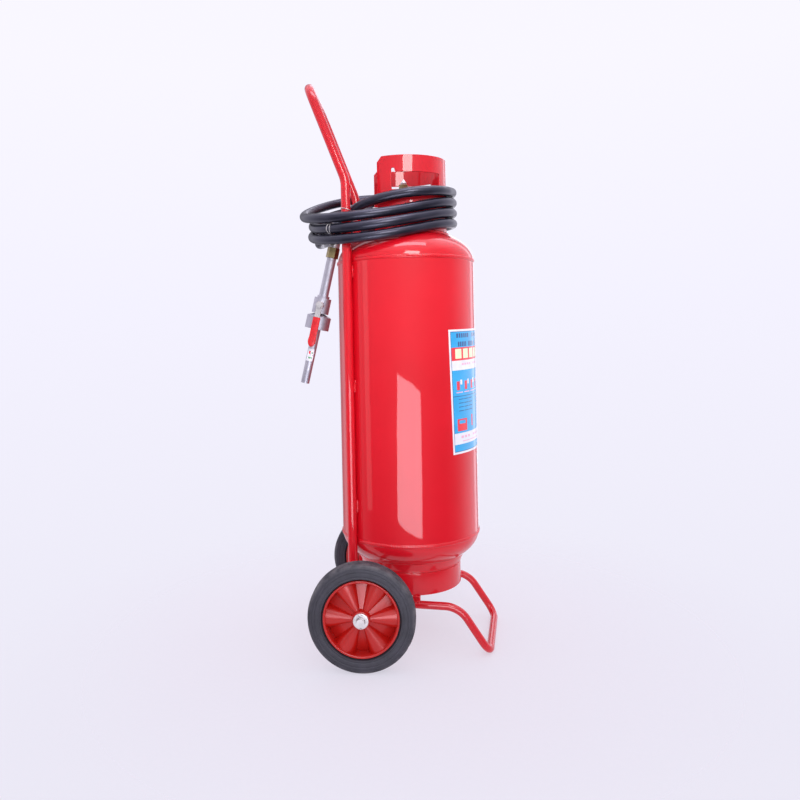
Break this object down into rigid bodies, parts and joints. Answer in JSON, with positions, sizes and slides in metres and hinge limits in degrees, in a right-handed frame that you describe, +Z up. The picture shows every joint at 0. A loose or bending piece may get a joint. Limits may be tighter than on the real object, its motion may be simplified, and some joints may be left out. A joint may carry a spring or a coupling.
{
  "type": "wheeled fire extinguisher",
  "caption": "Red welded cylinder on a two-wheel trolley with a guarded ball valve, pressure gauge, coiled rubber hose and lever-operated discharge gun.",
  "frame": {"origin": "centre of the footprint, on the floor under the object, measured without the hose", "axes": "+Z up, +X from the wheels towards the leg, +Y towards the side away from the gun"},
  "size_m": [0.425, 0.46, 1.2],
  "materials": {
    "red_paint": "gloss red stoved enamel on welded steel",
    "zinc_plate": "zinc plated steel, slightly dull",
    "brass": "turned and forged brass",
    "aluminium": "turned aluminium, satin",
    "tyre_rubber": "worn solid rubber with a light bloom",
    "disc_plastic": "moulded red plastic",
    "ptfe": "white low-friction plastic",
    "hose_rubber": "smooth dark rubber hose cover",
    "seal_rubber": "soft black rubber",
    "grip_vinyl": "dipped black vinyl",
    "red_vinyl": "dipped red vinyl",
    "dial_enamel": "white enamel dial with plain coloured sectors",
    "needle_black": "black painted pointer",
    "gauge_glass": "clear flat window",
    "label_film": "printed film: plain blue panel with white and red bands, no words",
    "white_film": "white printed film, no words"
  },
  "bodies": {
    "cylinder_and_trolley": {"tank_shell": "red_paint", "top_head": "red_paint", "bottom_head": "red_paint", "seam_welds": "red_paint", "neck_boss": "red_paint", "foot_ring": "red_paint", "valve_guard": "red_paint", "uprights": "red_paint", "handle_frame": "red_paint", "frame_welds": "red_paint", "front_leg": "red_paint", "ring_lugs": "red_paint", "axle_brackets": "red_paint", "axle": "zinc_plate", "axle_spacers": "red_paint", "axle_washers": "zinc_plate", "split_pins": "zinc_plate", "neck_seal": "seal_rubber", "valve_body": "brass", "valve_bonnet": "brass", "valve_seat": "ptfe", "gland_nut": "brass", "dip_tube": "aluminium", "gauge_case": "zinc_plate", "gauge_dial": "dial_enamel", "gauge_glass": "gauge_glass", "coupling_nut": "brass", "hose_ferrule": "zinc_plate", "hose_lead": "hose_rubber", "hose_coil": "hose_rubber", "hose_tail": "hose_rubber", "gun_ferrule": "zinc_plate", "gun_nut": "brass", "gun_tube": "aluminium", "gun_body": "aluminium", "gun_seats": "ptfe", "gun_collar": "aluminium", "gun_barrel": "aluminium", "main_label": "label_film", "lower_label": "white_film", "barrel_label": "white_film"},
    "near_wheel": {"near_tyre": "tyre_rubber", "near_wheel_disc": "disc_plastic", "near_hub_bush": "ptfe"},
    "far_wheel": {"far_tyre": "tyre_rubber", "far_wheel_disc": "disc_plastic", "far_hub_bush": "ptfe"},
    "main_valve": {"valve_ball": "zinc_plate", "valve_spindle": "zinc_plate", "valve_lever": "zinc_plate", "lever_grip": "grip_vinyl", "spindle_nut": "brass", "dome_nut": "zinc_plate"},
    "gun_valve": {"gun_ball": "zinc_plate", "gun_spindle": "zinc_plate", "gun_lever": "zinc_plate", "gun_sleeve": "red_vinyl", "gun_lever_nut": "zinc_plate"},
    "needle": {"gauge_needle": "needle_black"}
  },
  "joints": [
    {"name": "near_wheel_spin", "type": "hinge", "parent": "cylinder_and_trolley", "child": "near_wheel", "pos_m": [-0.07667, -0.195, 0.106], "axis": [0, 1, 0], "continuous": true},
    {"name": "far_wheel_spin", "type": "hinge", "parent": "cylinder_and_trolley", "child": "far_wheel", "pos_m": [-0.07667, 0.195, 0.106], "axis": [0, 1, 0], "continuous": true},
    {"name": "valve_lever_turn", "type": "hinge", "parent": "cylinder_and_trolley", "child": "main_valve", "pos_m": [0.01633, 0, 0.975], "axis": [0, 0, 1], "range_deg": [0, 90]},
    {"name": "gun_lever_turn", "type": "hinge", "parent": "cylinder_and_trolley", "child": "gun_valve", "pos_m": [-0.16064, -0.084, 0.7214], "axis": [0, 1, 0], "range_deg": [0, 90]},
    {"name": "gauge_needle_sweep", "type": "hinge", "parent": "cylinder_and_trolley", "child": "needle", "pos_m": [0.05929, 0.01437, 0.932], "axis": [0.9483, 0.3173, 0], "range_deg": [-135, 135]}
  ]
}
